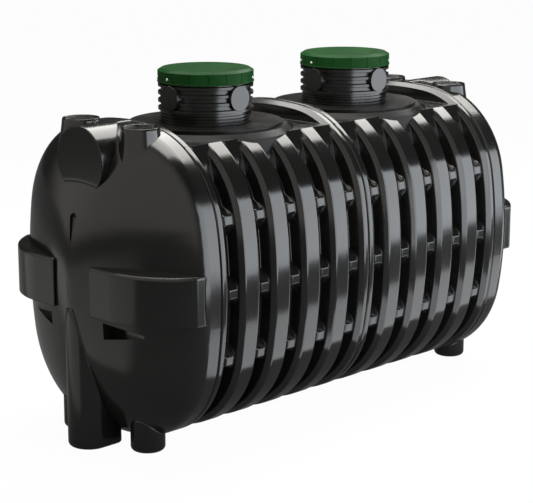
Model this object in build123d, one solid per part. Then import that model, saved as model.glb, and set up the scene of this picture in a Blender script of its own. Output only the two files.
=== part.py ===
from build123d import *
import math
import os

# Ribbed section of the tank, looking along its length (mm)
half_width = 925.0
half_height = 1085.0
centre_z = 1136.0
corner_radius = 718.0
corner_y = 176.0
corner_z = 359.0
wall = 10.0

# Ribbed wall along the tank
rib_face = 122.0
rib_gap = 175.0
rib_depth = 117.0
ribs_per_module = 4
shoulder_run = 35.0
shoulder_depth = 28.0
flank_run = 4.0
lip_width = 46.0
groove_run = 10.0
groove_depth = 12.0
shelf_z = 2100.0

# Gussets across the gaps between ribs
gusset_levels = (-480.0, 0.0, 500.0)
gusset_plateau = 85.0
gusset_foot = 225.0
gusset_depth = 30.0

# Domed end caps
band_width = 102.0
flange_depth = 45.0
dome_depth = 445.0
dome_width_bend = (1.75, 1.2)
dome_height_bend = (2.0, 1.75)
dome_sections = 9
dome_split_x = 1660.0
dimple_radius = 34.0
dimple_top_z = 1615.0
dimple_tip_z = 1410.0
dimple_x = 1957.0
dimple_tilt = 10.0

# Level boss on each end, the pipe connection pad
pad_radius = 236.0
pad_face_x = 1880.0
pad_top_z = 2228.0

# Upright cable columns on each end
column_radius = 127.0
column_x = 1610.0
column_y = 310.0
column_top_z = 2225.0
column_lip = 12.0

# Corner blocks at mid height on each end
ear_low_z = 975.0
ear_high_z = 1315.0
ear_front_x = 1978.0
ear_inner_y = 190.0
ear_front_y = 400.0
ear_bend_x = 1885.0
ear_bend_y = 705.0
ear_side_x = 1660.0
ear_side_y = 915.0
ear_edge = 22.0
recess_x = 1830.0
recess_low_z = 822.0
recess_high_z = 940.0
recess_tip_z = 873.0
recess_near_y = 275.0
recess_tip_y = 640.0

# Feet under each end
nose_half_width = 150.0
nose_tip_x = 1998.0
nose_back_x = 1690.0
nose_top_z = 1000.0
foot_x = 1633.0
foot_y = 364.0
foot_radius = 120.0
foot_top_z = 360.0
foot_edge = 32.0

# Manway platform, neck and riser
platform_radius = 620.0
platform_rim_radius = 580.0
platform_top_radius = 545.0
platform_z = 2145.0
platform_step = 20.0
skirt_z = 2088.0
manway_radius = 300.0
neck_radius = 324.0
neck_ring_depth = 10.0
neck_rings = 3
neck_top_z = 2213.0
riser_radius = 338.0
riser_ring_depth = 20.0
riser_rings = 4
riser_pitch = 55.0
riser_ring_width = 30.0
riser_first_ring_z = 2404.0
riser_top_z = 2499.0
boss_radius = 88.0
boss_face = 352.0
boss_z = 2330.0

# Lid
lid_radius = 340.0
lid_top_radius = 313.0
lid_skirt_z = 2426.0
lid_shoulder_z = 2505.0
lid_top_z = 2522.0
lid_wall = 6.0
lid_seat_radius = 290.0
lid_bead = 3.0
lid_panels = 16
lid_slot_width = 5.0
lid_notch_width = 15.0
lid_slot_depth = 3.0

# Sizes worked out from the ones above
rib_pitch = rib_face + rib_gap
half_module = (rib_face * ribs_per_module + rib_gap * (ribs_per_module + 1)) / 2 + lip_width
module_x = half_module
joint_x = 2 * half_module
band_x = joint_x + band_width


def edge_radius(inset, along):
    """Radius of the flat arc that passes through an edge middle and runs into the corner arc."""
    return (corner_radius ** 2 - inset ** 2 - along ** 2) / (2 * (corner_radius + inset))


side_radius = edge_radius(corner_y - half_width, corner_z)
crown_radius = edge_radius(corner_z - half_height, corner_y)
side_angle = math.degrees(math.atan2(corner_z, corner_y - half_width + side_radius))
crown_angle = math.degrees(math.atan2(corner_y, corner_z - half_height + crown_radius))
strip_angles = (4.0, 27.8, 73.6)
shelf_angle = math.degrees(math.asin((shelf_z - centre_z - corner_z) / corner_radius))
flank_x = half_module - lip_width - shoulder_run - flank_run


def save(node, shape):
    """Write one node as its own file."""
    os.makedirs("parts", exist_ok=True)
    shape.label = node
    export_step(shape, "parts/" + node + ".step")


def ribbed_line(ribs):
    """Outer line of one module's wall, as (x, depth) from one joint to the other."""
    run_in = lip_width + shoulder_run
    line = [(-half_module, groove_depth), (-half_module + groove_run, 0), (-half_module + lip_width, 0)]
    line += [(-half_module + run_in, shoulder_depth), (-half_module + run_in + flank_run, rib_depth)]
    for index in range(ribs):
        x = (index - (ribs - 1) / 2) * rib_pitch
        face = rib_face / 2
        root = face + shoulder_run + flank_run
        line += [(x - root, rib_depth), (x - face - shoulder_run, shoulder_depth), (x - face, 0)]
        line += [(x + face, 0), (x + face + shoulder_run, shoulder_depth), (x + root, rib_depth)]
    return line + [(-x, depth) for x, depth in reversed(line[:5])]


def inner_line(line, thickness):
    """The same line moved inwards by the wall thickness, with mitred corners."""
    moved = []
    for index, (x, depth) in enumerate(line):
        normals = []
        for a, b in zip(line[max(index - 1, 0):index + 1], line[max(index, 1):index + 2]):
            length = math.hypot(b[0] - a[0], b[1] - a[1])
            normals.append(((a[1] - b[1]) / length, (b[0] - a[0]) / length))
        first, last = normals[0], normals[-1]
        share = thickness / (1 + first[0] * last[0] + first[1] * last[1])
        moved.append((x + share * (first[0] + last[0]), depth + share * (first[1] + last[1])))
    ends = (line[0][0], line[-1][0])
    moved[0] = (ends[0], moved[0][1])
    moved[-1] = (ends[1], moved[-1][1])
    return moved


def swept(profile, centre, radius, start, sweep):
    """Turn an (x, depth) outline about one arc of the section."""
    pivot = (0, centre[0], centre_z + centre[1])
    outward = math.radians(start)
    across = Plane(origin=pivot, x_dir=(1, 0, 0), z_dir=(0, -math.sin(outward), math.cos(outward)))
    outline = Polyline([(x, radius - depth) for x, depth in profile], close=True)
    return revolve(across * make_face(outline), axis=Axis(pivot, (1, 0, 0)), revolution_arc=sweep)


def side_sweep(profile, low, high):
    """Carry an outline round the +Y side, between two angles of the section."""
    solid = None
    pieces = (
        ((0, crown_radius - half_height), crown_radius, -90, -90 + crown_angle),
        ((corner_y, -corner_z), corner_radius, -90 + crown_angle, -side_angle),
        ((half_width - side_radius, 0), side_radius, -side_angle, side_angle),
        ((corner_y, corner_z), corner_radius, side_angle, 90 - crown_angle),
        ((0, half_height - crown_radius), crown_radius, 90 - crown_angle, 90),
    )
    for centre, radius, first, last in pieces:
        start = max(first, low)
        stop = min(last, high)
        if stop > start:
            piece = swept(profile, centre, radius, start, stop - start)
            solid = piece if solid is None else solid + piece
    return solid


def wall_profile(ribs):
    """Closed outline of the wall, its outer line and the same line a wall further in."""
    outer = ribbed_line(ribs)
    return outer + list(reversed(inner_line(outer, wall)))


def shelf_room(thickness):
    """Space under the flat shelf of the roof, less a wall along its top and sides."""
    turn = math.radians(shelf_angle)
    top = shelf_z - thickness
    shift = thickness / math.sin(turn)
    edge_y = corner_y + (top - centre_z - corner_z) / math.tan(turn) - shift
    deep = corner_radius - rib_depth - wall
    root_y = corner_y + deep * math.cos(turn) - shift
    root_z = centre_z + corner_z + deep * math.sin(turn)
    outline = Polyline([(edge_y, top), (root_y, root_z), (-root_y, root_z), (-edge_y, top)], close=True)
    reach = flank_x + wall / 2
    return extrude(Plane.YZ.offset(-reach) * make_face(outline), 2 * reach)


def roof():
    """Flat shelf between two raised lips, open where the manway platform stands."""
    half_lips = side_sweep(wall_profile(0), shelf_angle, 90)
    lips = half_lips + mirror(half_lips, about=Plane.XZ)
    between = Pos(0, 0, centre_z) * Box(2 * flank_x, 3 * half_width, 3 * half_height)
    shelf = shelf_room(0) - shelf_room(wall)
    return (lips - between) + shelf


def wall_strips():
    """The ribbed wall as strips round the section, as pairs on the two sides."""
    profile = wall_profile(ribs_per_module)
    near, corner, far = strip_angles
    upper = pair(side_sweep(profile, near, corner))
    half_floor = side_sweep(profile, -90, -far)
    hole = Pos(0, 0, centre_z) * extrude(Circle(platform_radius), half_height * 2)
    turned = Plane.XY.offset(centre_z)
    return {
        "roof": Compound((roof() - hole).solids()),
        "roof_shoulders": pair(side_sweep(profile, corner, shelf_angle) - hole),
        "middle_sides": pair(side_sweep(profile, -near, near)),
        "rounded_sides": Compound(upper.solids() + mirror(upper, about=turned).solids()),
        "floor_shoulders": pair(side_sweep(profile, -far, -corner)),
        "floor": half_floor + mirror(half_floor, about=Plane.XZ),
    }


def gusset_body(level, thickness):
    """One gusset between two rib flanks, smaller by a wall thickness all round."""
    gap = rib_gap / 2 - shoulder_run - thickness
    root = gap - flank_run
    profile = [(-root, rib_depth), (root, rib_depth), (gap, shoulder_depth), (-gap, shoulder_depth)]
    angle = 0.0
    y, z = half_width, level
    if abs(level) > side_radius * math.sin(math.radians(side_angle)):
        angle = math.degrees(math.asin((abs(level) - corner_z) / corner_radius))
        y = corner_y + corner_radius * math.cos(math.radians(angle))
    elif level:
        angle = math.degrees(math.asin(abs(level) / side_radius))
        y = half_width - side_radius + side_radius * math.cos(math.radians(angle))
    angle = math.copysign(angle, level)
    reach = 2 * math.degrees(gusset_foot / corner_radius)
    channel = side_sweep(profile, angle - reach / 2, angle + reach / 2)
    turn = math.radians(angle)
    local = Plane(origin=(0, y, centre_z + z), x_dir=(0, -math.sin(turn), math.cos(turn)), z_dir=(1, 0, 0))
    top = gusset_depth + thickness
    deep = rib_depth + wall
    slope = (gusset_foot - gusset_plateau) / 2 / (rib_depth - gusset_depth)
    half_top = gusset_plateau / 2 - thickness / 2
    half_deep = half_top + slope * (deep - top)
    ramp = Polyline([(-half_deep, deep), (half_deep, deep), (half_top, top), (-half_top, top)], close=True)
    return channel & extrude(local * make_face(ramp), rib_gap / 2, both=True)


def gussets():
    """The three hollow gussets in one gap on the +Y side."""
    return [gusset_body(level, 0) - gusset_body(level, wall) for level in gusset_levels]


def section_face(x, inset=0.0):
    """Section of the tank as a flat face across its length."""
    arcs = []
    for across in (1, -1):
        start = -side_angle if across > 0 else 180 - side_angle
        centre = (across * (half_width - side_radius), 0)
        arcs.append(CenterArc(centre, side_radius - inset, start, 2 * side_angle))
        crown = (0, across * (half_height - crown_radius))
        crown_start = across * 90 - crown_angle
        arcs.append(CenterArc(crown, crown_radius - inset, crown_start, 2 * crown_angle))
    sweep = 90 - side_angle - crown_angle
    starts = {(1, 1): side_angle, (-1, 1): 90 + crown_angle, (-1, -1): 180 + side_angle}
    starts[(1, -1)] = 270 + crown_angle
    for (across, up), start in starts.items():
        centre = (across * corner_y, up * corner_z)
        arcs.append(CenterArc(centre, corner_radius - inset, start, sweep))
    plane = Plane(origin=(x, 0, centre_z), x_dir=(0, 1, 0), z_dir=(1, 0, 0))
    return plane * make_face(Curve() + arcs)


def bend(along, powers):
    """Half size of the dome at a share of its depth, from 1 at the band to 0 at the tip."""
    return (1 - along ** powers[0]) ** (1 / powers[1])


def shrunk(face, x, width, height):
    """The section moved along the tank and scaled about its middle."""
    here = Pos(-face.center().X, 0, -centre_z) * face
    return Pos(x, 0, centre_z) * scale(here, by=(1, width, height))


def dome_solid(inset):
    """End cap as a closed body: a straight band and a dome, moved in by the wall."""
    face = section_face(joint_x, inset)
    band = extrude(face, band_width)
    sections = []
    for index in range(dome_sections):
        along = math.sin(index / (dome_sections - 1) * math.pi / 2 * 0.93)
        size = (bend(along, dome_width_bend), bend(along, dome_height_bend))
        sections.append(shrunk(face, band_x + (dome_depth - inset) * along, *size))
    return band + loft(sections)


def hollows(grow):
    """Drop-shaped dimple high on the dome and a recess under each corner block."""
    height = dimple_top_z - dimple_tip_z
    drop = Cone(1 + grow, dimple_radius + grow, height) + Pos(0, 0, height / 2) * Sphere(dimple_radius + grow)
    drop = Pos(dimple_x, 0, dimple_tip_z + height / 2) * Rot(0, -dimple_tilt, 0) * drop
    side = [(recess_near_y - grow, recess_low_z - grow), (recess_near_y - grow, recess_high_z + grow)]
    triangle = make_face(Polyline(side + [(recess_tip_y + grow * 4, recess_tip_z)], close=True))
    recess = extrude(Plane.YZ.offset(recess_x - grow) * triangle, dome_depth)
    return drop + recess + mirror(recess, about=Plane.XZ)


def end_cap():
    """Hollow end cap, open at the joint, with a bevelled lip beside the groove."""
    shell = (dome_solid(0) - hollows(0)) - (dome_solid(wall) - hollows(wall))
    lip = section_face(joint_x)
    bevel = loft([section_face(joint_x, groove_depth), section_face(joint_x + groove_run)], ruled=True)
    ring = extrude(lip, groove_run) - bevel
    flange = extrude(lip - section_face(joint_x, flange_depth), wall)
    return shell + flange - ring


def wedge(first, last):
    """The part of the end band's length between two lines square to the wall."""
    points = []
    for angle in (first, last):
        centre = (corner_y, corner_z)
        radius = corner_radius
        if abs(angle) < side_angle:
            centre = (half_width - side_radius, 0)
            radius = side_radius
        if angle > 90 - crown_angle:
            centre = (0, half_height - crown_radius)
            radius = crown_radius
        for reach in (radius - half_width / 3, radius + half_width / 3):
            y = centre[0] + reach * math.cos(math.radians(angle))
            z = centre[1] + reach * math.sin(math.radians(angle))
            points.append((y, centre_z + z))
    inner_first, outer_first, inner_last, outer_last = points
    face = make_face(Polyline([inner_first, outer_first, outer_last, inner_last], close=True))
    return extrude(Plane.YZ.offset(joint_x) * face, dome_split_x - joint_x)


def band_strips(ring):
    """The end band as strips round the section, each set joined to none of its own."""
    near, corner, far = strip_angles
    turned = Plane.XY.offset(centre_z)
    half_roof = ring & wedge(far, 90)
    roof = half_roof + mirror(half_roof, about=Plane.XZ)
    middles = pair(ring & wedge(-near, near))
    sides = pair(ring & wedge(near, corner))
    shoulders = pair(ring & wedge(corner, far))
    return {
        "end_band_middles": Compound(middles.solids() + roof.solids() + mirror(roof, about=turned).solids()),
        "end_band_sides": Compound(sides.solids() + mirror(sides, about=turned).solids()),
        "end_band_shoulders": Compound(shoulders.solids() + mirror(shoulders, about=turned).solids()),
    }


def beyond(x):
    """Everything past one plane across the tank."""
    size = 3 * half_height
    return Pos(x, 0, centre_z) * Box(size, size, size, align=(Align.MIN, Align.CENTER, Align.CENTER))


def hollow(outer, inner, body):
    """What is left of a hollow moulding outside the end cap."""
    return outer - inner - body


def pipe_pad(body):
    """Flat round boss for the pipe connection, high on the end."""
    length = pad_face_x - joint_x
    plane = Plane(origin=(joint_x, 0, pad_top_z - pad_radius), x_dir=(0, 1, 0), z_dir=(1, 0, 0))
    outer = extrude(plane * Circle(pad_radius), length)
    inner = extrude(plane * Circle(pad_radius - wall), length - wall)
    return hollow(outer, inner, body)


def column(body):
    """Upright round column with a flat top inside a raised lip."""
    height = column_top_z - centre_z
    place = Pos(column_x, column_y, centre_z)
    outer = extrude(Circle(column_radius), height)
    inner = extrude(Circle(column_radius - wall), height - column_lip - wall)
    dish = Pos(0, 0, height - column_lip) * extrude(Circle(column_radius - wall), column_lip)
    return hollow(place * (outer - dish), place * inner, body)


def ear_plan(inset):
    """Outline of a corner block from above, with one long bend round the corner."""
    front = ear_front_x - inset
    side = ear_side_y - inset
    back = joint_x + flange_depth + inset
    bend_point = (ear_bend_x - inset * 0.7, ear_bend_y - inset * 0.7)
    inner = ear_inner_y + inset
    edges = Polyline([(ear_side_x, side), (back, side), (back, inner), (front, inner), (front, ear_front_y)])
    return make_face(Curve() + [edges, ThreePointArc((front, ear_front_y), bend_point, (ear_side_x, side))])


def ear(body):
    """Corner block standing out of the dome at mid height, with a soft upper edge."""
    height = ear_high_z - ear_low_z
    outer = Pos(0, 0, ear_low_z) * extrude(ear_plan(0), height)
    outer = fillet(outer.faces().sort_by(Axis.Z)[-1].edges(), ear_edge)
    inner = Pos(0, 0, ear_low_z + wall) * extrude(ear_plan(wall), height - 2 * wall)
    return hollow(outer, inner, body)


def nose_foot(body):
    """Upright foot with a half round front, under the middle of the end."""
    centre_x = nose_tip_x - nose_half_width
    straight = centre_x - nose_back_x
    plan = Pos(nose_back_x, 0) * Rectangle(straight, 2 * nose_half_width, align=(Align.MIN, Align.CENTER))
    plan += Pos(centre_x, 0) * Circle(nose_half_width)
    outer = extrude(plan, nose_top_z)
    outer = fillet(outer.faces().sort_by(Axis.Z)[0].edges(), foot_edge)
    inner = Pos(0, 0, wall) * extrude(offset(plan, -wall), nose_top_z - 2 * wall)
    inner = fillet(inner.faces().sort_by(Axis.Z)[0].edges(), foot_edge - wall)
    return hollow(outer, inner, body)


def side_foot(body):
    """Short round foot under one side of the end."""
    outer = extrude(Circle(foot_radius), foot_top_z)
    outer = fillet(outer.faces().sort_by(Axis.Z)[0].edges(), foot_edge)
    inner = Pos(0, 0, wall) * extrude(Circle(foot_radius - wall), foot_top_z - wall)
    inner = fillet(inner.faces().sort_by(Axis.Z)[0].edges(), foot_edge - wall)
    place = Pos(foot_x, foot_y, 0)
    return hollow(place * outer, place * inner, body)


def quarters(ring):
    """A ring cut on its diagonals, as the pair along the tank and the pair across it."""
    size = 2 * platform_radius
    wedge = make_face(Polyline([(0, 0), (size, -size), (size, size)], close=True))
    cutter = extrude(wedge, 2 * lid_top_z)
    ends = (ring & cutter, ring & (Rot(0, 0, 180) * cutter))
    sides = (ring & (Rot(0, 0, 90) * cutter), ring & (Rot(0, 0, 270) * cutter))
    return Compound(ends), Compound(sides)


def platform():
    """Stepped round platform that carries the manway neck, with a skirt down to the wall."""
    low_z = platform_z - platform_step
    root_z = centre_z + corner_z
    outline = [(manway_radius, platform_z), (platform_top_radius, platform_z), (platform_top_radius, low_z)]
    outline += [(platform_rim_radius, low_z), (platform_radius, skirt_z), (platform_radius, root_z)]
    outline += [(platform_radius - wall, root_z), (platform_radius - wall, skirt_z - wall)]
    outline += [(platform_rim_radius - wall, low_z - wall), (platform_top_radius - wall, low_z - wall)]
    outline += [(platform_top_radius - wall, platform_z - wall), (manway_radius, platform_z - wall)]
    ring = revolve(Plane.XZ * make_face(Polyline(outline, close=True)), Axis.Z)
    core = extrude(section_face(-half_module, rib_depth + wall), 2 * half_module)
    return ring - core - shelf_room(wall)


def ringed_tube(base, top, crests, radius, depth, crest_half):
    """Round tube whose outer wall stands out in rings."""
    outline = [(manway_radius, base), (radius - depth, base)]
    for z in crests:
        outline += [(radius - depth, z - crest_half), (radius, z - crest_half * 0.6)]
        outline += [(radius, z + crest_half * 0.6), (radius - depth, z + crest_half)]
    outline += [(radius - depth, top), (manway_radius, top)]
    return revolve(Plane.XZ * make_face(Polyline(outline, close=True)), Axis.Z)


def neck():
    """Lower part of the manway with fine rings."""
    pitch = (neck_top_z - platform_z) / neck_rings
    crests = [platform_z + pitch * (index + 0.5) for index in range(neck_rings)]
    return ringed_tube(platform_z, neck_top_z, crests, neck_radius, neck_ring_depth, pitch / 2 * 0.8)


def riser():
    """Upper part of the manway with broad rings, under the lid."""
    crests = [riser_first_ring_z - riser_pitch * index for index in reversed(range(riser_rings))]
    crest_half = riser_ring_width / 2
    return ringed_tube(neck_top_z, riser_top_z, crests, riser_radius, riser_ring_depth, crest_half)


def bosses(body):
    """Four flat round pads on the riser for side connections."""
    pads = []
    for turn in (0, 90, 180, 270):
        disc = extrude(Circle(boss_radius), boss_face - manway_radius)
        pads.append(Rot(0, 0, turn) * Pos(manway_radius, 0, boss_z) * Rot(0, 90, 0) * disc)
    return [pad - body for pad in pads]


def lid():
    """Shallow cap with a bevelled edge and a deep skirt, slotted into panels."""
    outline = [(0, lid_top_z), (lid_top_radius, lid_top_z), (lid_radius, lid_shoulder_z)]
    outline += [(lid_radius, lid_skirt_z + 3 * lid_bead), (lid_radius + lid_bead, lid_skirt_z + 2 * lid_bead)]
    outline += [(lid_radius + lid_bead, lid_skirt_z), (lid_radius - lid_wall, lid_skirt_z)]
    outline += [(lid_radius - lid_wall, riser_top_z), (lid_seat_radius, riser_top_z)]
    outline += [(lid_seat_radius, lid_top_z - lid_wall), (0, lid_top_z - lid_wall)]
    cap = revolve(Plane.XZ * make_face(Polyline(outline, close=True)), Axis.Z)
    low = lid_skirt_z + 3 * lid_bead
    height = lid_shoulder_z - low
    for index in range(lid_panels):
        width = lid_slot_width if index % 5 else lid_notch_width
        slot = Box(2 * lid_slot_depth, width, height, align=(Align.CENTER, Align.CENTER, Align.MIN))
        cap -= Rot(0, 0, (index + 0.2) * 360 / lid_panels) * Pos(lid_radius, 0, low) * slot
    return cap


def build():
    """Build every piece for one half and mirror it to the other."""
    gap_gussets = gussets()
    row = [Pos((index - ribs_per_module / 2) * rib_pitch, 0, 0) for index in range(ribs_per_module + 1)]
    halves = wall_strips()
    halves["gussets"] = pair(Compound([place * gusset for place in row for gusset in gap_gussets]))
    tube = neck() + riser()
    for name, ring in (("platform", platform()), ("riser", tube)):
        halves[name + "_ends"], halves[name + "_sides"] = quarters(ring)
    halves["riser_bosses"] = Compound(bosses(tube))
    halves["manway_lid"] = lid()
    body = dome_solid(0)
    cap = end_cap()
    past = beyond(dome_split_x)
    ends = {
        **band_strips(cap - past),
        "end_dome": cap & past,
        "pipe_pad": pipe_pad(body),
        "end_columns": pair(column(body)),
        "end_ears": pair(ear(body)),
        "nose_foot": nose_foot(body),
        "side_feet": pair(side_foot(body)),
    }
    for node, shape in halves.items():
        save("outlet_" + node, Pos(module_x, 0, 0) * shape)
        save("inlet_" + node, Pos(-module_x, 0, 0) * shape)
    for node, shape in ends.items():
        save("outlet_" + node, shape)
        save("inlet_" + node, mirror(shape, about=Plane.YZ))


def pair(shape):
    """A piece on the +Y side and its mirror image, which don't touch."""
    return Compound(shape.solids() + mirror(shape, about=Plane.XZ).solids())


build()
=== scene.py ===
import math

import bpy
import numpy as np
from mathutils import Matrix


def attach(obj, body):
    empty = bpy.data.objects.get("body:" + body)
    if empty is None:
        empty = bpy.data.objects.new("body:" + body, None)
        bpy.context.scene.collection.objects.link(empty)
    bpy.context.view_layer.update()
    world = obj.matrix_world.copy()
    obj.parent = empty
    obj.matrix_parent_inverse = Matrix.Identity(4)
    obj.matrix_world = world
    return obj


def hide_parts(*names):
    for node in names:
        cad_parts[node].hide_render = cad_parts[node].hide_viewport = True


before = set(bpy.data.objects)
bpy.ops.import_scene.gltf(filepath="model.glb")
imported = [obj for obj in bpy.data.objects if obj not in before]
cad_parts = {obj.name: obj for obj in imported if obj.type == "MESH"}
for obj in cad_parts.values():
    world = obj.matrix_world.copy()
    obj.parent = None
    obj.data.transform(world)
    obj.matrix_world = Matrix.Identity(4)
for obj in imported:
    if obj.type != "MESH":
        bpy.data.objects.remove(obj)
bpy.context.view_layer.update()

# The view: the tank is seen from its inlet corner, a little from above,
# with a long lens, so that the end and the long side share the picture.
picture_width = 533
focal_pixels = 1682.35
camera_data = bpy.data.cameras.new("photo_camera")
camera_data.sensor_width = 36.0
camera_data.lens = focal_pixels / picture_width * camera_data.sensor_width
camera_data.clip_end = 200.0
camera = bpy.data.objects.new("photo_camera", camera_data)
camera.location = (-8.808, -8.689, 3.929)
camera.rotation_euler = (math.radians(90 - 13.03), 0, math.radians(-45))
bpy.context.scene.collection.objects.link(camera)
bpy.context.scene.camera = camera


class Socket:
    """A shader value that can be added, multiplied and compared like a number."""

    def __init__(self, tree, socket):
        self.tree = tree
        self.socket = socket

    def out(self, kind, output=0, settings=None, **inputs):
        """One output of a new node; inputs are named, or numbered as i0, i1 and so on."""
        made = self.tree.nodes.new(kind)
        for name, value in (settings or {}).items():
            setattr(made, name, value)
        for name, value in inputs.items():
            numbered = name[0] == "i" and name[1:].isdigit()
            key = int(name[1:]) if numbered else name.replace("_", " ")
            if isinstance(value, Socket):
                self.tree.links.new(value.socket, made.inputs[key])
            else:
                made.inputs[key].default_value = value
        return Socket(self.tree, made.outputs[output])

    def maths(self, operation, *values):
        inputs = {"i%d" % index: value for index, value in enumerate(values)}
        return self.out("ShaderNodeMath", 0, {"operation": operation}, **inputs)

    def __add__(self, other):
        return self.maths("ADD", self, other)

    def __radd__(self, other):
        return self.maths("ADD", other, self)

    def __sub__(self, other):
        return self.maths("SUBTRACT", self, other)

    def __rsub__(self, other):
        return self.maths("SUBTRACT", other, self)

    def __mul__(self, other):
        return self.maths("MULTIPLY", self, other)

    def __rmul__(self, other):
        return self.maths("MULTIPLY", other, self)

    def above(self, low, high):
        """0 below low, 1 above high and a soft step between them."""
        settings = {"interpolation_type": "SMOOTHSTEP"}
        return self.out("ShaderNodeMapRange", 0, settings, Value=self, From_Min=low, From_Max=high)

    def noise(self, scale, detail, roughness=0.5):
        return self.out("ShaderNodeTexNoise", Vector=self, Scale=scale, Detail=detail, Roughness=roughness)

    def colour(self, first, second):
        """The first colour where this value is 0, the second where it is 1."""
        return self.out("ShaderNodeMix", 2, {"data_type": "RGBA"}, i0=self, i6=first, i7=second)

    def shaders(self, first, second):
        """The first shader where this value is 0, the second where it is 1."""
        return self.out("ShaderNodeMixShader", i0=self, i1=first, i2=second)

    def bump(self, strength, distance, **under):
        """A normal with this value as relief, over another normal where one is given."""
        return self.out("ShaderNodeBump", Height=self, Strength=strength, Distance=distance, **under)

    def axes(self):
        return [self.out("ShaderNodeSeparateXYZ", axis, Vector=self) for axis in range(3)]

    def into(self, shader, name):
        self.tree.links.new(self.socket, shader.inputs[name])


def new_material(name):
    """A new material, its Principled shader and its Object coordinates."""
    material = bpy.data.materials.new(name)
    material.use_nodes = True
    tree = material.node_tree
    here = Socket(tree, tree.nodes.new("ShaderNodeTexCoord").outputs["Object"])
    return material, tree.nodes["Principled BSDF"], here


# The ribbed barrel: one hollow moulding of black polyethylene to each half,
# turned in a hot mould, so its skin is glossy, faintly pitted and drawn in
# fine lines round the section, and every fold has a small round edge.
module = 0.7275
halves = (("inlet_", -module), ("outlet_", module))
half_width, half_height, centre_z = 0.925, 1.085, 1.136
corner_radius, corner_y, corner_z = 0.718, 0.176, 0.359
side_radius, crown_radius = 2.8122, 2.658
shelf_z = 2.100
rib_face, rib_gap, rib_depth = 0.122, 0.175, 0.117
lip_width, shoulder_run, shoulder_depth, flank_run = 0.046, 0.035, 0.028, 0.004
groove_depth, groove_run = 0.012, 0.010
edge_round = 0.0075
gusset_depth, gusset_half_height, gusset_ramp, gusset_half_width = 0.030, 0.029, 0.083, 0.033
gusset_low, gusset_high = -0.480, 0.500
run_out, run_out_power = 0.26, 1.1
gap_middles = (np.arange(5) - 2) * (rib_face + rib_gap)


def moulded_skin(name, gloss, lines, edge):
    """Black moulded polyethylene; lines gives how fast its fine lines change along x, y and z,
    edge how far its sharp edges are rounded."""
    deep_black, worn_black = (0.0042, 0.0042, 0.0040, 1), (0.0072, 0.0070, 0.0066, 1)
    dust_grey = (0.022, 0.021, 0.019, 1)
    material, shader, here = new_material(name)
    x, y, z = here.axes()
    stretched = here.out("ShaderNodeCombineXYZ", X=x * lines[0], Y=y * lines[1], Z=z * lines[2])
    drawn = stretched.noise(1.0, 3.0, 0.6)
    pits = here.noise(240.0, 4.0, 0.65)
    waves = here.noise(9.0, 2.0)
    cloud = here.noise(2.6, 5.0, 0.62)
    facing_up = here.out("ShaderNodeNewGeometry", 1).axes()[2]
    dust = facing_up.above(0.35, 1.0) * cloud.above(0.42, 0.72)
    (dust * 0.16).colour(cloud.colour(deep_black, worn_black), dust_grey).into(shader, "Base Color")
    rough = gloss + drawn * 0.05 + dust * 0.1 + waves.above(0.5, 0.75) * 0.03
    rough.into(shader, "Roughness")
    under = {}
    if edge > 0:
        under["Normal"] = here.out("ShaderNodeBevel", 0, {"samples": 6}, Radius=edge)
    wavy = waves.bump(0.12, 0.0012, **under)
    lined = drawn.bump(0.5, 0.0003, Normal=wavy)
    pits.bump(0.25, 0.0003, Normal=lined).into(shader, "Normal")
    shader.inputs["IOR"].default_value = 1.52
    return material


def dress(names, material):
    """Give a material to the same pieces of both halves."""
    for half, _ in halves:
        for name in names:
            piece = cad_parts[half + name]
            piece.data.materials.clear()
            piece.data.materials.append(material)


def new_piece(name, points, faces):
    """A smooth-shaded object from an array of points and one of four-cornered faces."""
    mesh = bpy.data.meshes.new(name)
    mesh.from_pydata(points.reshape(-1, 3).tolist(), [], faces.reshape(-1, 4).tolist())
    mesh.shade_smooth()
    piece = bpy.data.objects.new(name, mesh)
    bpy.context.scene.collection.objects.link(piece)
    return piece


def section_arcs(turn, depth):
    """Points of the tank's section: eight arcs that run into each other, each point at its
    arc's centre plus the arc's radius less the depth, along the direction turn."""
    across, up = np.cos(turn), np.sin(turn)
    slope = np.arcsin(np.clip(np.abs(up), 0, 1))
    side = slope < math.atan2(corner_z, corner_y - half_width + side_radius)
    crown = slope > math.pi / 2 - math.atan2(corner_y, corner_z - half_height + crown_radius)
    radius = np.where(side, side_radius, np.where(crown, crown_radius, corner_radius))
    middle_y = np.where(side, half_width - side_radius, np.where(crown, 0, corner_y))
    middle_z = np.where(side, 0, np.where(crown, half_height - crown_radius, corner_z))
    y = np.sign(across) * middle_y + (radius - depth) * across
    z = centre_z + np.sign(up) * middle_z + (radius - depth) * up
    return y, z, radius


def rib_line():
    """Outer line of the wall from joint to joint, as x and depth: a groove and a lip, then a
    shoulder, a flank and a gap's floor, and the same back up on each rib."""
    start = [(-module, 0.026), (-module + 0.0002, groove_depth), (-module + groove_run, 0)]
    shoulder_x = -module + lip_width + shoulder_run
    start += [(-module + lip_width, 0), (shoulder_x, shoulder_depth), (shoulder_x + flank_run, rib_depth)]
    half_face = rib_face / 2
    root = half_face + shoulder_run + flank_run
    line = list(start)
    for index in range(4):
        x = (index - 1.5) * (rib_face + rib_gap)
        left, right = x - half_face, x + half_face
        line += [(x - root, rib_depth), (left - shoulder_run, shoulder_depth), (left, 0)]
        line += [(right, 0), (right + shoulder_run, shoulder_depth), (x + root, rib_depth)]
    return line + [(-x, depth) for x, depth in reversed(start)]


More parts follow.
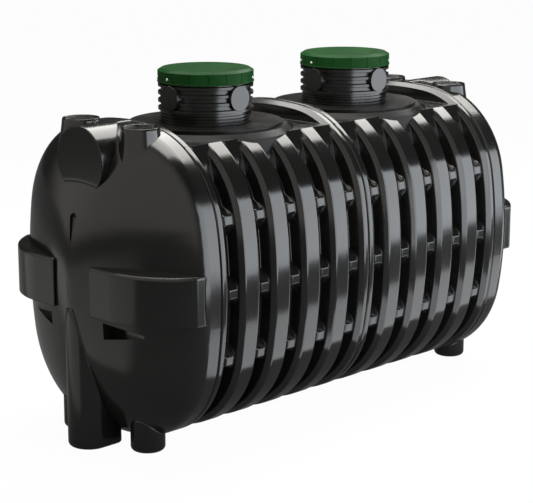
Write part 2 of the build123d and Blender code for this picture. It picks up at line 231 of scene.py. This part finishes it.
def rounded_corners(line, radius, steps):
    """The line with each corner turned into a short curve that leaves and meets both sides."""
    line = np.array(line)
    before, corner, after = line[:-2], line[1:-1], line[2:]
    back, ahead = before - corner, after - corner
    back_length = np.linalg.norm(back, axis=1)[:, None]
    ahead_length = np.linalg.norm(ahead, axis=1)[:, None]
    longest, support = 0.42, 1.15
    reach_back = np.minimum(radius, back_length * longest)
    reach_ahead = np.minimum(radius, ahead_length * longest)
    first = (corner + back / back_length * reach_back)[:, None]
    last = (corner + ahead / ahead_length * reach_ahead)[:, None]
    share = np.linspace(0, 1, steps)[None, :, None]
    curve = (1 - share) ** 2 * first + 2 * share * (1 - share) * corner[:, None] + share ** 2 * last
    lead_in = (corner + back / back_length * reach_back * support)[:, None]
    lead_out = (corner + ahead / ahead_length * reach_ahead * support)[:, None]
    whole = np.concatenate([lead_in, curve, lead_out], 1).reshape(-1, 2)
    return np.concatenate([line[:1], whole, line[-1:]])


def barrel_columns():
    """Columns of the skin: x, the ribs' depth there and the distance to the nearest gap's middle."""
    outline = rounded_corners(rib_line(), edge_round, 4)
    across_gap = np.linspace(-0.0385, 0.0385, 12)
    floor_x = (gap_middles[:, None] + across_gap[None, :]).reshape(-1)
    x = np.concatenate([outline[:, 0], floor_x])
    depth = np.concatenate([outline[:, 1], np.full(len(floor_x), rib_depth)])
    order = np.argsort(x, kind="stable")
    x = x[order]
    return x, depth[order], np.abs(x[:, None] - gap_middles[None, :]).min(1)


def barrel_rows():
    """Rows of the skin from shelf to shelf round the floor, closest at the gussets: the direction
    of each, its distance along the section to the nearest gusset's middle, and to the shelf."""
    shelf_turn = math.asin((shelf_z - centre_z - corner_z) / corner_radius)
    fine = np.linspace(shelf_turn, -math.pi / 2, 6000)
    radius = section_arcs(fine, 0.0)[2]
    along = np.concatenate([[0], np.cumsum((radius[1:] + radius[:-1]) / 2 * -np.diff(fine))])
    low_turn = math.asin(gusset_low / side_radius)
    high_turn = math.asin((gusset_high - corner_z) / corner_radius)
    centres = np.interp([-low_turn, 0.0, -high_turn], -fine, along)
    steps = np.array([0, 0.014, 0.022, 0.027, 0.030, 0.033, 0.038, 0.048, 0.062, 0.078, 0.094, 0.106, 0.112, 0.117])
    near = (centres[:, None] + np.concatenate([-steps[1:], steps])[None, :]).reshape(-1)
    plain = np.linspace(0, along[-1], 108)
    plain = plain[np.abs(plain[:, None] - centres[None, :]).min(1) > 0.122]
    under_shelf = np.array([0.004, 0.008, 0.014, 0.020, 0.032, 0.038])
    stations = np.sort(np.concatenate([near, plain, under_shelf]))
    turn = np.interp(stations, along, fine)
    from_gusset = np.abs(stations[:, None] - centres[None, :]).min(1)
    turn = np.concatenate([turn, -math.pi - turn[-2::-1]])
    from_gusset = np.concatenate([from_gusset, from_gusset[-2::-1]])
    return turn, from_gusset, np.concatenate([stations, stations[-2::-1]])


def ribbed_barrel(name, centre_x):
    """Skin of one half: each point is a point of the section moved inwards by a depth. The depth
    is the rib line's at that x, or a gusset's where that one is shallower; a gusset's depth is
    the largest of its flat top's, its two ramps' and its two side bevels'. Under the shelf the
    gaps run out to nothing."""
    x, ribs, from_middle = barrel_columns()
    turn, from_gusset, from_shelf = barrel_rows()
    steepness = (rib_depth - gusset_depth) / gusset_ramp
    ramp = gusset_depth + np.maximum(from_gusset - gusset_half_height, 0) * steepness
    bevel = gusset_depth + np.maximum(from_middle - gusset_half_width, 0) * 1.1
    gusset = np.maximum(ramp[:, None], bevel[None, :])
    in_gap = from_middle[None, :] < 0.0565
    depth = np.where(in_gap, np.minimum(ribs[None, :], gusset), ribs[None, :])
    share = np.minimum(from_shelf / run_out, 1)
    depth = np.minimum(depth, rib_depth * (1 - (1 - share) ** run_out_power)[:, None])
    y, z, _ = section_arcs(turn[:, None], depth)
    points = np.stack([np.broadcast_to(x[None, :] + centre_x, depth.shape), y, z], -1)
    rows, columns = depth.shape
    corner = np.arange(rows - 1)[:, None] * columns + np.arange(columns - 1)[None, :]
    faces = np.stack([corner, corner + 1, corner + columns + 1, corner + columns], -1)
    return new_piece(name, points, faces)


round_the_section = (300.0, 5.0, 5.0)
barrel_skin = moulded_skin("barrel_black_polyethylene", 0.09, round_the_section, 0.0)
shelf_skin = moulded_skin("shelf_black_polyethylene", 0.16, round_the_section, 0.006)
dress(("roof",), shelf_skin)
walls = ("roof_shoulders", "middle_sides", "rounded_sides", "floor_shoulders", "floor", "gussets")
dress(walls, barrel_skin)
for half, centre_x in halves:
    barrel = ribbed_barrel(half + "ribbed_barrel", centre_x)
    barrel.data.materials.append(barrel_skin)
    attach(barrel, "root")
    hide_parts(*[half + wall for wall in walls])

# The domed ends with their band: the same moulding, on the smooth face of
# the mould. Corner blocks, cable columns, pipe pad and feet grow out of it
# in broad round fillets.
up_the_end = (8.0, 120.0, 3.0)
end_skin = moulded_skin("end_black_polyethylene", 0.14, up_the_end, 0.0)
dress(("end_band_middles", "end_band_shoulders", "end_band_sides", "end_dome"), end_skin)
block_skin = moulded_skin("block_black_polyethylene", 0.15, up_the_end, 0.016)
dress(("end_columns", "end_ears", "pipe_pad", "nose_foot", "side_feet"), block_skin)


def ring_faces(rings, sides, outward):
    """Faces between rings of points, each ring closed on itself."""
    row = np.arange(rings - 1)[:, None] * sides
    here = np.arange(sides)[None, :]
    after = (here + 1) % sides
    corners = [row + here, row + sides + here, row + sides + after, row + after]
    return np.stack(corners if outward else corners[:1] + corners[:0:-1], -1).reshape(-1, 4)


# The flares of the cable columns: each column widens downwards into the dome
# it is moulded with, from the rolled lip round its flat top.
column_x, column_y = 1.610, 0.310
flare_outline = np.array([
    (0.1165, 2.2130), (0.1180, 2.2235), (0.1225, 2.2262), (0.1278, 2.2235), (0.1310, 2.2100),
    (0.1345, 2.1800), (0.1400, 2.1400), (0.1480, 2.0920), (0.1590, 2.0450), (0.1730, 2.0000),
    (0.1900, 1.9550), (0.2100, 1.9080), (0.2280, 1.8600), (0.2360, 1.7900),
])


def column_flares(name, centre_x):
    """Surfaces of revolution: one outline of radius and height turned about each column's axis."""
    radius, height = flare_outline[:, 0], flare_outline[:, 1]
    turn = np.linspace(0, 2 * np.pi, 73)[:-1]
    faces = ring_faces(len(radius), len(turn), True)
    points = []
    for centre_y in (-column_y, column_y):
        x = centre_x + radius[:, None] * np.cos(turn)[None, :]
        y = centre_y + radius[:, None] * np.sin(turn)[None, :]
        points.append(np.stack([x, y, np.broadcast_to(height[:, None], x.shape)], -1).reshape(-1, 3))
    return new_piece(name, np.concatenate(points), np.concatenate([faces, faces + len(points[0])]))


for half, centre_x in (("inlet_", -column_x), ("outlet_", column_x)):
    flares = column_flares(half + "column_flares", centre_x)
    flares.data.materials.append(end_skin)
    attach(flares, "root")

# The platform and the corrugated manway on it: black polyethylene, blown
# in rings, with the flat round pads that a pipe seal is drilled through.
round_the_rings = (12.0, 12.0, 500.0)
manway_skin = moulded_skin("manway_black_polyethylene", 0.2, round_the_rings, 0.0)
dress(("riser_ends", "riser_sides"), manway_skin)
platform_skin = moulded_skin("platform_black_polyethylene", 0.26, round_the_rings, 0.0)
platform_skin.node_tree.nodes["Principled BSDF"].inputs["Specular IOR Level"].default_value = 0.1
dress(("platform_ends", "platform_sides"), platform_skin)
pad_skin = moulded_skin("pad_black_polyethylene", 0.2, (160.0, 160.0, 160.0), 0.004)
dress(("riser_bosses",), pad_skin)


# The lids: dark green polyethylene with a leathery top, pressed over the
# riser's end and held by stainless screws through the skirt.
def lid_skin(name, centre_x):
    """Green moulded plastic, mottled, with paler rubbed patches and a painted highlight round its rim."""
    deep_green, bright_green = (0.0038, 0.0225, 0.0050, 1), (0.0072, 0.0410, 0.0088, 1)
    rubbed_and_highlight_green = (0.0095, 0.052, 0.0120, 1)
    material, shader, here = new_material(name)
    x, y, _ = here.axes()
    across = x - centre_x
    reach = here.maths("SQRT", across * across + y * y)
    leather = here.out("ShaderNodeTexVoronoi", 0, {"feature": "F1"}, Vector=here, Scale=260.0)
    mottle = here.noise(70.0, 5.0, 0.7)
    cloud = here.noise(6.0, 3.0)
    # The cloud patches are rubbed wear; the band from 0.306 to 0.330 out from the lid's middle is a painted
    # highlight on the rim's chamfer.
    rubbed_and_rim_highlight = cloud.above(0.4, 0.8) * 0.5 + reach.above(0.306, 0.330) * mottle * 0.4
    rubbed_and_rim_highlight.colour(mottle.colour(deep_green, bright_green), rubbed_and_highlight_green).into(shader, "Base Color")
    (0.26 + mottle * 0.12 + cloud * 0.06).into(shader, "Roughness")
    soft_edge = here.out("ShaderNodeBevel", 0, {"samples": 6}, Radius=0.004)
    grained = leather.bump(0.5, 0.0008, Normal=soft_edge)
    mottle.bump(0.3, 0.0008, Normal=grained).into(shader, "Normal")
    shader.inputs["Specular IOR Level"].default_value = 0.03
    return material


for half, centre_x in halves:
    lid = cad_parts[half + "manway_lid"]
    lid.data.materials.clear()
    lid.data.materials.append(lid_skin(half + "lid_green_plastic", centre_x))

# The lid screws: stainless button heads with a socket, driven level into the
# skirt just above its lip, in three pairs round the lid.
skirt_radius, screw_z = 0.3402, 2.456
screw_angles = (145.0, 175.0, 303.0, 333.0, 33.0, 63.0)
head_radius = np.array([0.0104, 0.0104, 0.0100, 0.0088, 0.0066, 0.0043, 0.0040, 0.0038, 0.0])
head_rise = np.array([-0.001, 0.0012, 0.0024, 0.0040, 0.0052, 0.0058, 0.0050, 0.0022, 0.0022])


def screw_heads(name, centre_x):
    """Button heads: a half ellipse with a sunk socket, turned about each screw's own axis."""
    turn = np.linspace(0, 2 * np.pi, 33)[:-1]
    side = head_radius[:, None] * np.cos(turn)[None, :]
    up = head_radius[:, None] * np.sin(turn)[None, :]
    distance = skirt_radius + np.repeat(head_rise[:, None], len(turn), 1)
    angle = np.radians(screw_angles)[:, None, None]
    x = centre_x + distance * np.cos(angle) - side * np.sin(angle)
    y = distance * np.sin(angle) + side * np.cos(angle)
    points = np.stack([x, y, np.broadcast_to(screw_z + up, x.shape)], -1)
    faces = ring_faces(len(head_radius), len(turn), False)
    first = np.arange(len(screw_angles))[:, None, None] * side.size
    return new_piece(name, points, first + faces[None])


steel, steel_shader, here = new_material("stainless_steel")
(0.22 + here.noise(900.0, 3.0) * 0.2).into(steel_shader, "Roughness")
steel_shader.inputs["Base Color"].default_value = (0.62, 0.61, 0.59, 1)
steel_shader.inputs["Metallic"].default_value = 1.0
for half, centre_x in halves:
    screws = screw_heads(half + "lid_screws", centre_x)
    screws.data.materials.append(steel)
    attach(screws, "root")

# The studio: a white floor without an end. To the camera it is white paper
# that keeps a faint shadow, and in the tank's gloss it is dim.
reach = 90.0
corners = np.array([(-reach, -reach, 0), (reach, -reach, 0), (reach, reach, 0), (-reach, reach, 0)])
floor = new_piece("studio_floor", corners, np.arange(4))
paper, paper_shader, here = new_material("white_paper")
(0.85 + here.noise(3.0, 4.0) * 0.05).into(paper_shader, "Roughness")
paper_shader.inputs["Base Color"].default_value = (0.8, 0.8, 0.8, 1)
camera_ray = here.out("ShaderNodeLightPath", 0)
glossy_ray = here.out("ShaderNodeLightPath", 3)
lit = Socket(paper.node_tree, paper_shader.outputs["BSDF"])
white = here.out("ShaderNodeEmission", Color=(1, 1, 1, 1), Strength=1.0)
dim = here.out("ShaderNodeEmission", Color=(1, 1, 1, 1), Strength=0.12)
seen = (glossy_ray * 0.9).shaders((camera_ray * 0.97).shaders(lit, white), dim)
seen.into(paper.node_tree.nodes["Material Output"], "Surface")
floor.data.materials.append(paper)


# The lamps: a broad warm box overhead, a long cool panel that stands beside
# the tank, a low one at its foot and a dim one beyond its end. Their edges
# are what the faces of the ribs mirror, with dark air between them.
def soft_box(name, place, turn, size, brightness, colour):
    """A rectangular lamp whose face has the given brightness."""
    data = bpy.data.lights.new(name, "AREA")
    data.shape = "RECTANGLE"
    data.size, data.size_y = size
    data.energy = brightness * math.pi * size[0] * size[1]
    data.color = colour
    lamp = bpy.data.objects.new(name, data)
    lamp.location = place
    lamp.rotation_euler = tuple(math.radians(angle) for angle in turn)
    lamp.visible_camera = False
    bpy.context.scene.collection.objects.link(lamp)


face_down, face_tank, face_up = (0, 0, 0), (90, 0, 0), (180, 0, 0)
soft_box("overhead_box", (2.4, 1.3, 6.2), face_down, (9.5, 5.2), 7.5, (1.0, 0.985, 0.94))
soft_box("side_panel", (5.5, -5.6, 2.13), face_tank, (15.0, 4.2), 4.5, (0.9, 0.95, 1.0))
soft_box("low_panel", (4.6, -1.9, 0.03), face_up, (11.0, 1.2), 2.4, (0.92, 0.96, 1.0))
soft_box("left_panel", (-6.0, 3.6, 0.03), face_up, (6.5, 7.5), 0.45, (1.0, 0.985, 0.95))

# The air of the studio: nearly dark to the tank but for a warm dim glow past
# its inlet end, and white to the camera behind the floor's end.
world = bpy.data.worlds.new("studio_air")
world.use_nodes = True
air_nodes = world.node_tree.nodes
air_nodes["Background"].inputs["Color"].default_value = (0.035, 0.035, 0.035, 1)
dark = Socket(world.node_tree, air_nodes["Background"].outputs["Background"])
heading = Socket(world.node_tree, air_nodes.new("ShaderNodeTexCoord").outputs["Generated"])
past_inlet = 0.0 - heading.axes()[0]
glow = heading.out("ShaderNodeBackground", Color=(1.0, 0.965, 0.9, 1), Strength=0.8)
white = heading.out("ShaderNodeBackground", Color=(1, 1, 1, 1), Strength=1.0)
camera_ray = heading.out("ShaderNodeLightPath", 0)
sky = camera_ray.shaders(past_inlet.above(0.05, 0.6).shaders(dark, glow), white)
sky.into(air_nodes["World Output"], "Surface")
bpy.context.scene.world = world
bpy.context.scene.view_settings.view_transform = "Standard"
